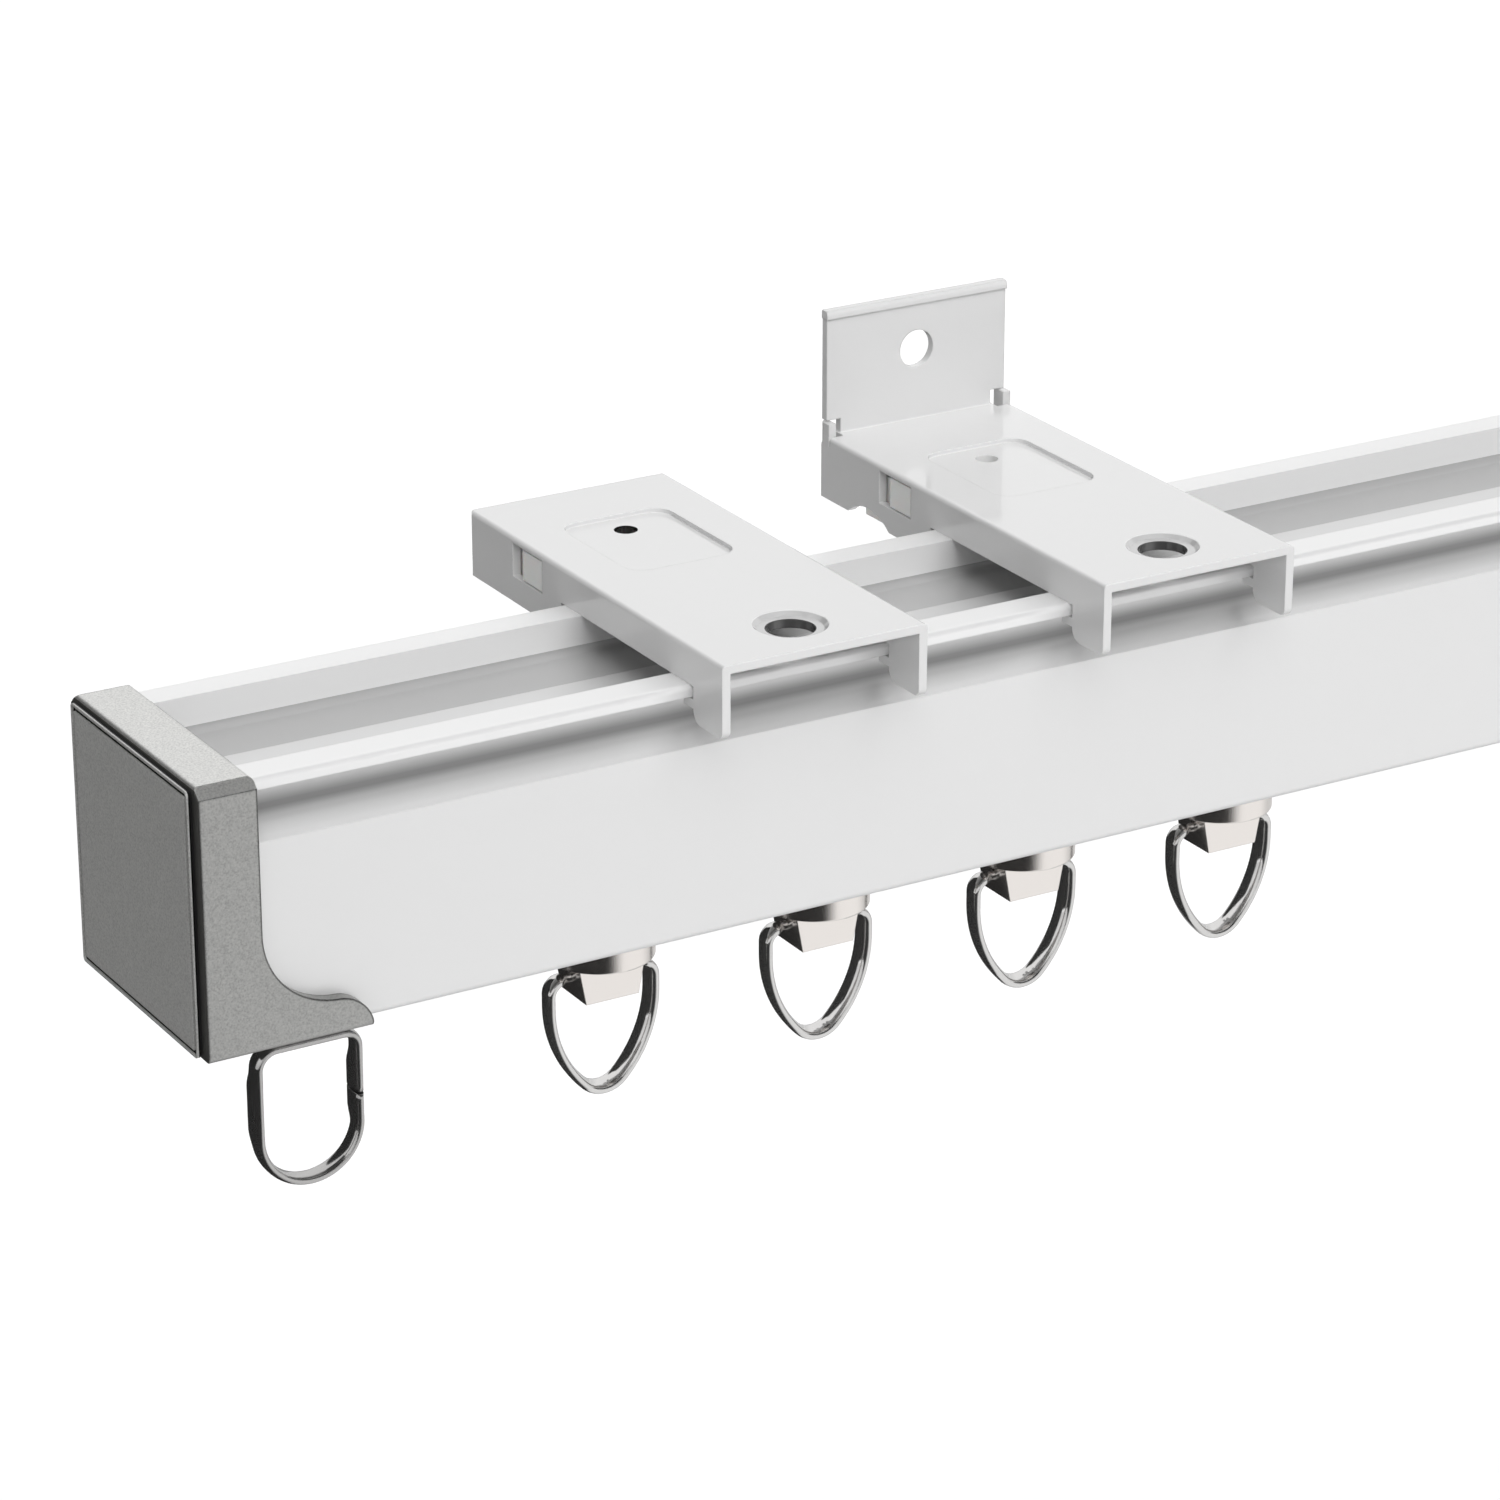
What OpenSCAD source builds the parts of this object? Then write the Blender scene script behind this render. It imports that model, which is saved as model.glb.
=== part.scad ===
// Curtain track: a square aluminium track with clamp brackets, end caps and ring gliders.
// Layout frame of the modules: x = 0 at the outer face of the left end cap,
// y = 0 on the middle plane of the track, z = 0 on top of the track.
// place() then moves everything so that the origin is the middle of the ceiling
// screw hole, on the seat of the screw head.

/* [Track] */
// Length of the aluminium track, cut end to cut end
track_length = 494; // [360:2:1200]
// Width over the front and back faces
track_w = 28; // [27:0.5:34]
// Height from the top lips to the underside
track_h = 29; // [28:0.5:36]
// Width of each flat lip on top
lip_w = 4.2; // [3.8:0.1:5]
// Thickness of the lips at their outer edge
lip_t = 1.3; // [1:0.1:1.8]
// Depth of the cove under each lip
cove_depth = 2.2; // [2:0.1:2.6]
// Height of the cove below the lip
cove_h = 5.7; // [4.6:0.1:6]
// Radius that sweeps the bottom of the cove out to the face
cove_r = 3; // [2.6:0.1:3.6]
// Radius on the upper outer edges of the lips
lip_edge_r = 0.6; // [0.2:0.1:0.8]
// Depth of the channel between the lips
channel_depth = 4.2; // [3.4:0.1:4.6]
// Fillet along the channel floor
channel_fillet = 0.8; // [0.3:0.1:2]
// Width of the raised land on the channel floor
land_w = 3.4; // [2:0.1:8]
// Height of that land
land_h = 0.3; // [0.2:0.1:0.8]
// Thickness of the side walls
side_wall = 1.4; // [1:0.1:2]
// Thickness of the two inner webs
web_t = 1.5; // [1:0.1:2]
// Height of the chamber that the gliders run in
chamber_h = 12; // [11.6:0.1:13]
// Thickness of the two running flanges
flange_t = 1.6; // [1.2:0.1:2.2]
// Width of the slot in the underside
slot_w = 6.4; // [6:0.1:7.4]
// Radius of the bottom edges
edge_r = 0.8; // [0.4:0.1:1.4]

/* [End caps] */
// Distance from the outer face of the cap to the cut end of the track
cap_face_t = 3; // [2.6:0.1:5]
// Distance from the outer face of the cap to the inner edge of its sides
cap_side = 7.1; // [6:0.1:9]
// Distance from the outer face of the cap to the end of the tongue
tongue_len = 19.4; // [19.2:0.1:23]
// Radius of the rounded tongue end
tongue_r = 4.2; // [3:0.1:5]
// Radius of the sweep from the cap side into the tongue
sweep_r = 8.9; // [7.5:0.1:10]
// How far the cap stands proud of the front and back faces
cap_proud = 1.5; // [1:0.05:2]
// How far the cap stands above the lips
cap_above = 0.65; // [0.5:0.05:1]
// How far the cap reaches below the underside
cap_below = 0.6; // [0.5:0.05:1.5]
// Radius on the upper and lower outer edges of the cap
cap_edge_r = 0.6; // [0.2:0.1:1]
// Bevel along the top of the cap sides
cap_bevel = 1.1; // [0.3:0.1:1.2]
// Radius along the bottom of the cap sides
cap_low_r = 1.2; // [0.4:0.1:1.4]
// Thickness of the end cover at its rim
cover_t = 0.35; // [0.3:0.05:0.8]
// Thickness of the dark seal behind the end cover
seal_t = 0.3; // [0.2:0.05:1]
// How far the end cover stands back from the cap sides
cover_inset = 1.35; // [0.3:0.05:2]
// How far the end cover stands back from the top and bottom of the cap
cover_drop = 0.5; // [0.2:0.05:1]
// How far the seal stands back from the edge of the end cover
seal_inset = 0.15; // [0.05:0.05:0.5]
// Width of the rim round the engraved line of the end cover
rim_w = 0.3; // [0.25:0.05:1]
// Width of the engraved line
line_w = 0.43; // [0.2:0.01:0.8]
// Depth of the engraved line
line_depth = 0.25; // [0.1:0.01:0.27]
// How far the plugs reach into the track
plug_len = 8; // [5:0.5:12]

/* [End rings] */
// Distance of the end ring from the outer face of its cap
end_ring_x = 18.7; // [17:0.1:19.5]
// Outer width of the end ring
end_ring_w = 12.7; // [11.5:0.1:14.5]
// Outer height of the end ring
end_ring_h = 17.1; // [15:0.1:24]
// Distance of the eye from the outer face of its cap
eye_x = 17.8; // [16.5:0.1:18]
// Drop from the cap underside to the pivot of the end ring
eye_drop = 5.65; // [4.5:0.05:8]
// Depth of the flat ring band, front to back
end_band_d = 2.2; // [1.6:0.1:2.6]
// Thickness of the flat ring band
end_band_t = 0.9; // [0.7:0.05:1.1]
// Outer radius of the outer top corner of the end ring
outer_corner_r = 2.7; // [2:0.1:5]
// Outer radius of the inner top corner of the end ring
inner_corner_r = 2.2; // [2:0.1:4]
// Diameter of the pin that carries the end ring
end_pivot_d = 1.2; // [1:0.1:1.3]
// Height of that pin above the middle of the top bar of the end ring
pivot_rise = 1.8; // [1.75:0.05:2.2]
// Wall of the eye round that pin
eye_wall = 0.4; // [0.3:0.05:0.45]
// Thickness of the eye along the track
eye_t = 2; // [1.6:0.1:2.2]
// Thickness of each post of the yoke that stands on the end ring
yoke_t = 1; // [0.8:0.1:1.1]
// Width of the yoke posts, front to back
yoke_w = 1.6; // [1.5:0.1:1.8]
// Open split in the right side of the end ring
split_gap = 0.3; // [0.2:0.05:0.6]

/* [Gliders] */
// Centre of the first glider from the outer face of the left cap
first_glider_x = 54.2; // [50:0.1:60]
// Spacing of the gliders
glider_pitch = 27.3; // [27:0.1:32]
// Diameter of the wheels
wheel_d = 9; // [8:0.1:9.6]
// Width of one wheel
wheel_w = 3.2; // [2.4:0.1:3.8]
// Diameter of the axle
axle_d = 2; // [1.6:0.1:2.4]
// Diameter of the rivet heads on the axle
axle_head_d = 3.4; // [3:0.1:4]
// Thickness of one rivet head
axle_head_t = 0.6; // [0.4:0.1:1]
// Length of the carriage along the track
carriage_len = 14; // [12:0.1:14.4]
// Width of the carriage above the slot
carriage_w = 8.4; // [7.6:0.1:9.4]
// Height of the carriage above the running flanges
carriage_h = 8; // [7.4:0.1:9]
// Length of the carriage neck in the slot
neck_len = 11; // [9:0.1:12]
// Diameter of the swivel stem
stem_d = 3.2; // [2.8:0.1:3.6]
// Diameter of the riveted stem end
stem_head_d = 5.8; // [5:0.1:6]
// Thickness of the riveted stem end
stem_head_t = 1.2; // [0.8:0.1:1.4]
// Diameter of the swivel disc
disc_d = 12.2; // [11:0.1:12.6]
// Thickness of the swivel disc
disc_t = 4.2; // [3:0.1:6]
// Gap between the track underside and the swivel disc
disc_gap = 1.9; // [1.5:0.1:3]
// Width of the ring block at its top
block_top_w = 8.2; // [7.6:0.1:8.4]
// Width of the ring block at its bottom
block_bottom_w = 6.5; // [5.5:0.1:7]
// Height of the ring block
block_h = 4.5; // [4.2:0.1:5]
// Depth of the ring block, front to back
block_d = 5.7; // [4:0.1:7]
// Distance of the ring pivot below the disc
pivot_drop = 2.1; // [1.5:0.1:2.6]
// Diameter of the ring pivot pins
pivot_d = 1.2; // [1:0.1:1.4]
// Length of the ring pivot pins inside the block
pin_len = 1.6; // [1:0.1:2.2]
// Depth of the ring band, front to back
band_d = 2.2; // [1.5:0.1:2.6]
// Thickness of the ring band
band_t = 0.8; // [0.6:0.05:0.9]
// Outer width of the ring
ring_w = 13.8; // [12.6:0.1:14.6]
// Distance from the ring pivot to the lowest point of the ring
ring_drop = 14.5; // [13.5:0.1:17]
// Middle radius of the ring corners beside the block
ring_corner_r = 1.7; // [1.3:0.1:2.2]
// Middle radius at the bottom of the ring
ring_bottom_r = 3.2; // [2.6:0.1:4]

/* [Brackets] */
// Centre of the ceiling bracket from the outer face of the left cap
ceiling_bracket_x = 70.3; // [64:0.1:74]
// Centre of the wall bracket from the outer face of the left cap
wall_bracket_x = 117.7; // [110:0.1:140]
// Width of both brackets
bracket_w = 25; // [23:0.5:28]
// Thickness of the steel sheet
sheet_t = 1; // [0.8:0.1:1.2]
// Height of the bracket plate above the track, to its upper face
plate_top = 4.2; // [4.1:0.1:5]
// How far the bracket reaches past the front face of the track
front_reach = 6.4; // [5.8:0.1:8]
// How far the ceiling bracket reaches past the back face of the track
rear_reach = 21.4; // [20.9:0.1:26]
// Outer radius of the bends
bend_r = 0.5; // [0.3:0.1:1.2]
// Lowest point of the front hooks below the top of the track
hook_drop = 4; // [3.8:0.1:4.6]
// How far hooks and bolt reach under the lips
hook_under = 1.6; // [1.2:0.05:1.7]
// Thickness of the hook noses under the lips
nose_t = 1; // [0.8:0.1:1.2]
// Radius on the lower rear corner of the hooks
hook_r = 1.5; // [0.8:0.1:2.2]
// Radius on the lower front corner of the hooks
hook_front_r = 0.8; // [0.3:0.1:1.5]
// Lowest point of the bracket sides behind the track
rear_drop = 3.4; // [3.2:0.1:4.2]
// Width of the tabs that close the rear of the bracket
tab_w = 9; // [8.8:0.1:9.8]
// Distance of the ceiling screw hole from the front edge of the plate
screw_inset = 7.2; // [5.2:0.1:8]
// Diameter of the ceiling screw hole
screw_d = 5.4; // [4.2:0.1:5.8]
// Diameter of the pressed dish round that hole
dish_d = 8.2; // [7.6:0.1:8.6]
// Depth of the pressed dish
dish_depth = 0.5; // [0.3:0.05:0.6]
// Width of the pressed field in the plate
field_w = 13.4; // [10:0.1:14]
// Length of the pressed field
field_len = 17.3; // [15:0.1:18]
// Distance of the rear edge of the pressed field from the back face of the track
field_reach = 11.9; // [10:0.1:13]
// Depth of the pressed field
field_depth = 0.5; // [0.3:0.05:0.6]
// Corner radius of the pressed field
field_r = 2.4; // [1:0.1:4]
// Diameter of the small hole in the pressed field
pilot_d = 2.6; // [2:0.1:3]
// Distance of that hole from the rear edge of the field
pilot_inset = 3.7; // [3:0.1:6]

/* [Wall plate] */
// How far the wall bracket reaches past the back face of the track
wall_reach = 24.5; // [21:0.1:32]
// Width of the wall plate
wall_plate_w = 24.4; // [22:0.1:28]
// Height of the wall plate above the bracket plate
wall_plate_h = 14.9; // [14:0.1:24]
// Diameter of the wall screw hole
wall_hole_d = 4.5; // [3.5:0.1:5.5]
// Distance of the wall screw hole below the top edge
wall_hole_inset = 6.4; // [5:0.1:8]
// Width of the relief notches beside the bend
relief_w = 1.9; // [1.5:0.1:3]
// Height of the relief notches above the bracket plate
relief_h = 1.7; // [1.5:0.1:3]
// Height of the bead along the top edge
bead_h = 1; // [0.8:0.1:1.6]
// How far the bead stands proud of the plate
bead_proud = 0.2; // [0.1:0.05:0.5]
// Depth of the finger arch in the bracket sides near the wall
arch_depth = 1.6; // [1:0.1:2.4]
// Radius of that arch
arch_r = 7; // [3:0.1:9]
// Distance of that arch from the wall
arch_inset = 10.8; // [9:0.1:12]

/* [Lock bolts] */
// Distance of the side windows from the back face of the track
window_gap = 4.6; // [4.4:0.1:5.5]
// Length of the side windows
window_len = 6.8; // [6.6:0.1:7.2]
// Lower edge of the windows below the top of the track
window_drop = 0.4; // [0.2:0.1:0.8]
// Travel of the bolt to let the track go
bolt_travel = 2; // [1.9:0.05:2.1]
// Room left behind the bolt, up to the tabs at the rear
bolt_room = 7.4; // [3:0.1:9]

/* [Clearances] */
// Between the caps and the track that they sit on
cap_fit = 0.1; // [0.05:0.05:0.2]
// Between a pin or axle and its bore, all round
pin_fit = 0.05; // [0.03:0.01:0.08]
// Between a wheel and the flange that it runs on
wheel_gap = 0.2; // [0.15:0.05:0.3]
// Between parts that slide past each other
slide_gap = 0.2; // [0.15:0.05:0.3]
// Between parts that turn beside each other
side_gap = 0.3; // [0.2:0.05:0.4]

/* [Hidden] */
$fn = 64;
// overshoot of a cut past the face that it opens
over = 1;

// track section
half_w = track_w / 2;
channel_w = track_w - 2 * lip_w;
cove_bottom = -lip_t - cove_h;
run_z = -track_h + flange_t;
chamber_top = run_z + chamber_h;
chamber_w = track_w - 2 * side_wall;
hollow_w = track_w - 2 * cove_depth - 2 * side_wall;
hollow_top = -channel_depth - web_t;
hollow_bottom = chamber_top + web_t;

// end caps and end rings
total_len = track_length + 2 * cap_face_t;
cap_w = track_w + 2 * cap_proud;
cap_bottom = -track_h - cap_below;
tongue_x = tongue_len - tongue_r;
sweep_x = cap_side + sweep_r;
sweep_z = cap_bottom + sqrt(pow(sweep_r + tongue_r, 2) - pow(sweep_x - tongue_x, 2));
tangent_x = tongue_x + (sweep_x - tongue_x) * tongue_r / (sweep_r + tongue_r);
cap_start = cover_t + seal_t;
cover_half = cap_w / 2 - cover_inset;
cover_bottom = cap_bottom + cover_drop;
cover_top = cap_above - cover_drop;
eye_z = cap_bottom - eye_drop;
eye_r = end_pivot_d / 2 + pin_fit + eye_wall;
end_ring_top = eye_z - pivot_rise + end_band_t / 2;

// gliders
wheel_z = run_z + wheel_gap + wheel_d / 2;
wheel_y = carriage_w / 2 + side_gap + wheel_w / 2;
axle_half = wheel_y + wheel_w / 2 + side_gap + axle_head_t;
carriage_bottom = run_z + slide_gap * 2;
neck_w = slot_w - 4 * slide_gap;
neck_bottom = -track_h - side_gap * 2;
disc_top = -track_h - disc_gap;
disc_bottom = disc_top - disc_t;
pivot_z = disc_bottom - pivot_drop;
stem_head_z = carriage_bottom + 0.9;
// half width of the block sides at a depth below the disc
function block_half(depth) =
  (block_top_w - (block_top_w - block_bottom_w) * depth / block_h) / 2;
ring_end_x = block_half(pivot_drop - band_t / 2) + side_gap;
// middle line of the ring: corner arcs, straight sides, two wide arcs and the bottom arc
ring_side_x = (ring_w - band_t) / 2;
ring_corner_z = pivot_z - ring_corner_r;
ring_flare_z = ring_corner_z - 1.4;
ring_low_z = pivot_z - ring_drop + band_t / 2 + ring_bottom_r;
ring_fall = ring_flare_z - ring_low_z;
wide_r = (pow(ring_side_x, 2) + pow(ring_fall, 2) - pow(ring_bottom_r, 2))
  / (2 * (ring_side_x - ring_bottom_r));
wide_x = wide_r - ring_side_x;

// brackets and bolts
bracket_front = -half_w - front_reach;
ceiling_rear = half_w + rear_reach;
wall_rear = half_w + wall_reach;
plate_under = plate_top - sheet_t;
nose_top = -lip_t - slide_gap;
screw_y = bracket_front + screw_inset;
field_rear = half_w + field_reach;
field_front = field_rear - field_len;
pilot_y = field_rear - pilot_inset;
window_front = half_w + window_gap;
window_top = plate_under + sheet_t * 0.3;
bolt_top = plate_under - field_depth - slide_gap;
bolt_half = bracket_w / 2 - sheet_t - slide_gap;
bolt_front_y = half_w + slide_gap * 2;
lug_len = window_len - bolt_travel - 2 * slide_gap;
lug_half = bracket_w / 2 - 0.1;
ear_top = plate_top + relief_h - slide_gap;
wall_top = plate_top + wall_plate_h;

// moves the layout frame so that the seat of the ceiling screw is the origin
module place() {
  translate([-ceiling_bracket_x, -screw_y, dish_depth - plate_top])
    children();
}

// a section drawn as (y, z), carried along x
module along_x(x0, x1) {
  translate([x0, 0, 0])
    rotate([90, 0, 90])
      linear_extrude(x1 - x0)
        children();
}

// an outline drawn as (x, z), carried along y
module along_y(y0, y1) {
  translate([0, y1, 0])
    rotate([90, 0, 0])
      linear_extrude(y1 - y0)
        children();
}

// a plan drawn as (x, y), carried along z
module along_z(z0, z1) {
  translate([0, 0, z0])
    linear_extrude(z1 - z0)
      children();
}

// a cylinder along x between two places
module rod_x(x0, x1, d, y = 0, z = 0) {
  translate([x0, y, z])
    rotate([0, 90, 0])
      cylinder(h = x1 - x0, d = d);
}

// a cylinder along y between two places
module rod_y(y0, y1, d, x = 0, z = 0) {
  translate([x, y1, z])
    rotate([90, 0, 0])
      cylinder(h = y1 - y0, d = d);
}

// a box between two corners
module box(a, b) {
  translate(a)
    cube(b - a);
}

// what a rounding takes off a corner, turned to that corner
module corner_cut(x, y, turn, r) {
  translate([x, y])
    rotate(turn)
      difference() {
        translate([-0.1, -0.1])
          square(r + 0.1);
        translate([r, r])
          circle(r);
      }
}

// a rectangle whose four corner radii are given from the lower left, turning left
module plate_2d(x0, y0, x1, y1, radii) {
  difference() {
    translate([x0, y0])
      square([x1 - x0, y1 - y0]);
    if (radii[0] > 0) corner_cut(x0, y0, 0, radii[0]);
    if (radii[1] > 0) corner_cut(x1, y0, 90, radii[1]);
    if (radii[2] > 0) corner_cut(x1, y1, 180, radii[2]);
    if (radii[3] > 0) corner_cut(x0, y1, 270, radii[3]);
  }
}

// the left half of what the cove takes off the section: an upright wall, then a hollow sweep
module cove_cut() {
  wall_y = -half_w + cove_depth;
  sweep_top = cove_bottom + sqrt(pow(cove_r, 2) - pow(cove_r - cove_depth, 2));
  translate([-half_w - over, sweep_top])
    square([cove_depth + over, -lip_t - sweep_top]);
  intersection() {
    translate([wall_y - cove_r, sweep_top])
      circle(cove_r);
    translate([wall_y - 2 * cove_r, sweep_top - cove_r])
      square([2 * cove_r, cove_r + 0.01]);
  }
}

// section of the track
module track_section() {
  difference() {
    plate_2d(-half_w, -track_h, half_w, 0, [edge_r, edge_r, lip_edge_r, lip_edge_r]);
    cove_cut();
    mirror([1, 0])
      cove_cut();
    difference() {
      plate_2d(-channel_w / 2, -channel_depth, channel_w / 2, over,
        [channel_fillet, channel_fillet, 0, 0]);
      translate([-land_w / 2, -channel_depth])
        square([land_w, land_h]);
    }
    translate([-hollow_w / 2, hollow_bottom])
      square([hollow_w, hollow_top - hollow_bottom]);
    translate([-chamber_w / 2, hollow_bottom])
      square([chamber_w, cove_bottom - side_wall - hollow_bottom]);
    translate([-chamber_w / 2, run_z])
      square([chamber_w, chamber_h]);
    translate([-slot_w / 2, -track_h - over])
      square([slot_w, flange_t + 2 * over]);
  }
}

module track_extrusion() {
  color("#e4e4e4")
    place()
      along_x(cap_face_t, cap_face_t + track_length)
        track_section();
}

// side of the cap as (x, z): a square side, a sweep and a tongue with a round end
module cap_side_2d() {
  plate_2d(cap_start, cap_bottom, cap_side, cap_above,
    [cap_edge_r, 0, cap_edge_r, cap_edge_r]);
  difference() {
    translate([cap_side - 0.1, cap_bottom])
      square([tangent_x - cap_side + 0.1, sweep_z - cap_bottom]);
    translate([sweep_x, sweep_z])
      circle(sweep_r);
  }
  intersection() {
    translate([tongue_x, cap_bottom])
      circle(tongue_r);
    translate([tangent_x - 0.1, cap_bottom])
      square([tongue_r * 2, tongue_r]);
  }
}

// outer form of the cap, with bevels along the top and radii along the bottom
module cap_form() {
  intersection() {
    along_y(-cap_w / 2, cap_w / 2)
      cap_side_2d();
    along_x(0, tongue_len)
      difference() {
        plate_2d(-cap_w / 2, cap_bottom, cap_w / 2, cap_above, [cap_low_r, cap_low_r, 0, 0]);
        for (side = [-1, 1])
          translate([side * cap_w / 2, cap_above])
            rotate(45)
              square(cap_bevel * sqrt(2), center = true);
      }
  }
}

// plug that fills one hollow of the track, as (y, z)
module plug_2d(w, z0, z1) {
  translate([-w / 2 + cap_fit, z0 + cap_fit])
    square([w - 2 * cap_fit, z1 - z0 - 2 * cap_fit]);
}

// lug with the bore that the end ring hangs in
module ring_eye() {
  difference() {
    along_x(eye_x - eye_t / 2, eye_x + eye_t / 2) {
      translate([-eye_r, eye_z])
        square([2 * eye_r, eye_drop + cap_below / 4]);
      translate([0, eye_z])
        circle(eye_r);
    }
    rod_x(eye_x - eye_t, eye_x + eye_t, end_pivot_d + 2 * pin_fit, 0, eye_z);
  }
}

module end_cap() {
  difference() {
    cap_form();
    box([cap_face_t, -half_w - cap_fit, -track_h - cap_fit],
      [tongue_len + over, half_w + cap_fit, cap_fit]);
  }
  along_x(cap_face_t - 0.1, cap_side)
    difference() {
      plate_2d(-channel_w / 2 + cap_fit, -channel_depth + cap_fit,
        channel_w / 2 - cap_fit, cap_above / 2,
        [channel_fillet, channel_fillet, 0, 0]);
      translate([-land_w / 2 - cap_fit, -channel_depth - over])
        square([land_w + 2 * cap_fit, land_h + over + cap_fit]);
    }
  along_x(cap_face_t - 0.1, cap_face_t + plug_len) {
    plug_2d(hollow_w, hollow_bottom, hollow_top);
    plug_2d(chamber_w, run_z, chamber_top);
  }
  ring_eye();
}

// outline of the end cover as (y, z) at a distance inside its edge
module cover_2d(inset) {
  r = max(0.5 - inset, 0.1);
  plate_2d(-cover_half + inset, cover_bottom + inset, cover_half - inset, cover_top - inset,
    [r, r, r, r]);
}

// dark seal that keeps the cover off the cap
module end_seal() {
  along_x(cover_t, cap_start)
    cover_2d(seal_inset);
}

// flat cover with a line engraved round it
module end_cover() {
  difference() {
    along_x(0, cover_t)
      cover_2d(0);
    along_x(-over, line_depth)
      difference() {
        cover_2d(rim_w);
        cover_2d(rim_w + line_w);
      }
  }
}

// outline of the end ring as (x, z) at a distance inside its outer edge
module end_ring_2d(inset) {
  half = end_ring_w / 2 - inset;
  top = end_ring_top;
  low = top - end_ring_h + end_ring_w / 2;
  plate_2d(-half, low, half, top - inset, [0, 0, inner_corner_r - inset, outer_corner_r - inset]);
  translate([0, low])
    circle(half);
}

// flat split ring, a closed loop but for the split in its right side
module end_ring() {
  split_z = end_ring_top - end_ring_h * 0.457;
  translate([end_ring_x, 0, 0])
    difference() {
      along_y(-end_band_d / 2, end_band_d / 2)
        difference() {
          end_ring_2d(0);
          end_ring_2d(end_band_t);
        }
      box([0, -end_band_d, split_z], [end_ring_w, end_band_d, split_z + split_gap]);
    }
}

// two posts on top of the ring with the pin that turns in the eye between them
module end_yoke() {
  inner = eye_t / 2 + side_gap;
  for (side = [-1, 1]) {
    x0 = eye_x + side * (inner + yoke_t / 2) - yoke_t / 2;
    box([x0, -yoke_w / 2, end_ring_top], [x0 + yoke_t, yoke_w / 2, eye_z]);
    rod_x(x0, x0 + yoke_t, yoke_w, 0, eye_z);
  }
  rod_x(eye_x - inner - yoke_t, eye_x + inner + yoke_t, end_pivot_d, 0, eye_z);
}

// the same piece at the other end of the track
module at_right_end() {
  translate([total_len, 0, 0])
    mirror([1, 0, 0])
      children();
}

module left_end_cap() {
  color("#c2c2c0")
    place()
      end_cap();
}

module left_end_seal() {
  color("#2b2b2c")
    place()
      end_seal();
}

module left_end_cover() {
  color("#a4a4a2")
    place()
      end_cover();
}

module left_end_ring() {
  color("#b9b9b9")
    place()
      end_ring();
}

module left_end_yoke() {
  color("#b9b9b9")
    place()
      end_yoke();
}

module right_end_cap() {
  color("#c2c2c0")
    place()
      at_right_end()
        end_cap();
}

module right_end_seal() {
  color("#2b2b2c")
    place()
      at_right_end()
        end_seal();
}

module right_end_cover() {
  color("#a4a4a2")
    place()
      at_right_end()
        end_cover();
}

module right_end_ring() {
  color("#b9b9b9")
    place()
      at_right_end()
        end_ring();
}

module right_end_yoke() {
  color("#b9b9b9")
    place()
      at_right_end()
        end_yoke();
}

// outline of the bracket sides as (y, z): band over the track, front hook, rear skirt
module bracket_side_2d(rear) {
  hook_back = -half_w - slide_gap * 2;
  translate([bracket_front, 0])
    square([rear - bracket_front, plate_top]);
  plate_2d(bracket_front, -hook_drop, hook_back, 0.1, [hook_front_r, hook_r, 0, 0]);
  translate([hook_back - 0.1, nose_top - nose_t])
    square([slide_gap * 2 + hook_under + 0.1, nose_t]);
  translate([half_w + slide_gap * 2, -rear_drop])
    square([rear - half_w - slide_gap * 2, rear_drop + 0.1]);
}

// plan of one side with the tab that closes the rear, as (x, y)
module bracket_plan_2d(rear) {
  difference() {
    union() {
      translate([-bracket_w / 2, bracket_front])
        square([sheet_t, rear - bracket_front]);
      translate([-bracket_w / 2, rear - sheet_t])
        square([tab_w, sheet_t]);
    }
    corner_cut(-bracket_w / 2, rear, 270, bend_r);
  }
}

// plan of the pressed field, as (x, y)
module field_2d(margin) {
  plate_2d(-field_w / 2 - margin, field_front - margin,
    field_w / 2 + margin, field_rear + margin,
    [for (i = [1:4]) field_r + margin]);
}

// folded clamp that both brackets share, without its holes
module clamp_form(rear) {
  intersection() {
    union() {
      along_z(plate_under, plate_top)
        plate_2d(-bracket_w / 2, bracket_front, bracket_w / 2, rear, [0, 0, bend_r, bend_r]);
      intersection() {
        along_z(-hook_drop - over, plate_under + 0.1) {
          bracket_plan_2d(rear);
          mirror([1, 0])
            bracket_plan_2d(rear);
        }
        along_x(-bracket_w, bracket_w)
          bracket_side_2d(rear);
      }
    }
    along_y(bracket_front, rear)
      plate_2d(-bracket_w / 2, -hook_drop - over, bracket_w / 2, plate_top,
        [0, 0, bend_r, bend_r]);
  }
  along_z(plate_under - field_depth, plate_under + 0.1)
    field_2d(field_depth / 2);
  translate([0, screw_y, plate_under - dish_depth])
    cylinder(h = dish_depth + 0.1, d1 = dish_d - 0.4, d2 = dish_d + 1);
}

// holes, pressed dish, pressed field and side windows
module clamp_cuts() {
  translate([0, screw_y, plate_under - dish_depth - over])
    cylinder(h = plate_top + over, d = screw_d);
  translate([0, screw_y, plate_top - dish_depth])
    cylinder(h = dish_depth + 0.01, d1 = dish_d - 1, d2 = dish_d);
  translate([0, pilot_y, plate_under - field_depth - over])
    cylinder(h = plate_top + over, d = pilot_d);
  along_z(plate_top - field_depth, plate_top + over)
    field_2d(0);
  for (side = [-1, 1])
    translate([side * bracket_w / 2, 0, 0])
      box([-sheet_t, window_front, -window_drop], [sheet_t, window_front + window_len, window_top]);
}

module ceiling_bracket() {
  color("#ececec")
    place()
      translate([ceiling_bracket_x, 0, 0])
        difference() {
          clamp_form(ceiling_rear);
          clamp_cuts();
        }
}

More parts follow.
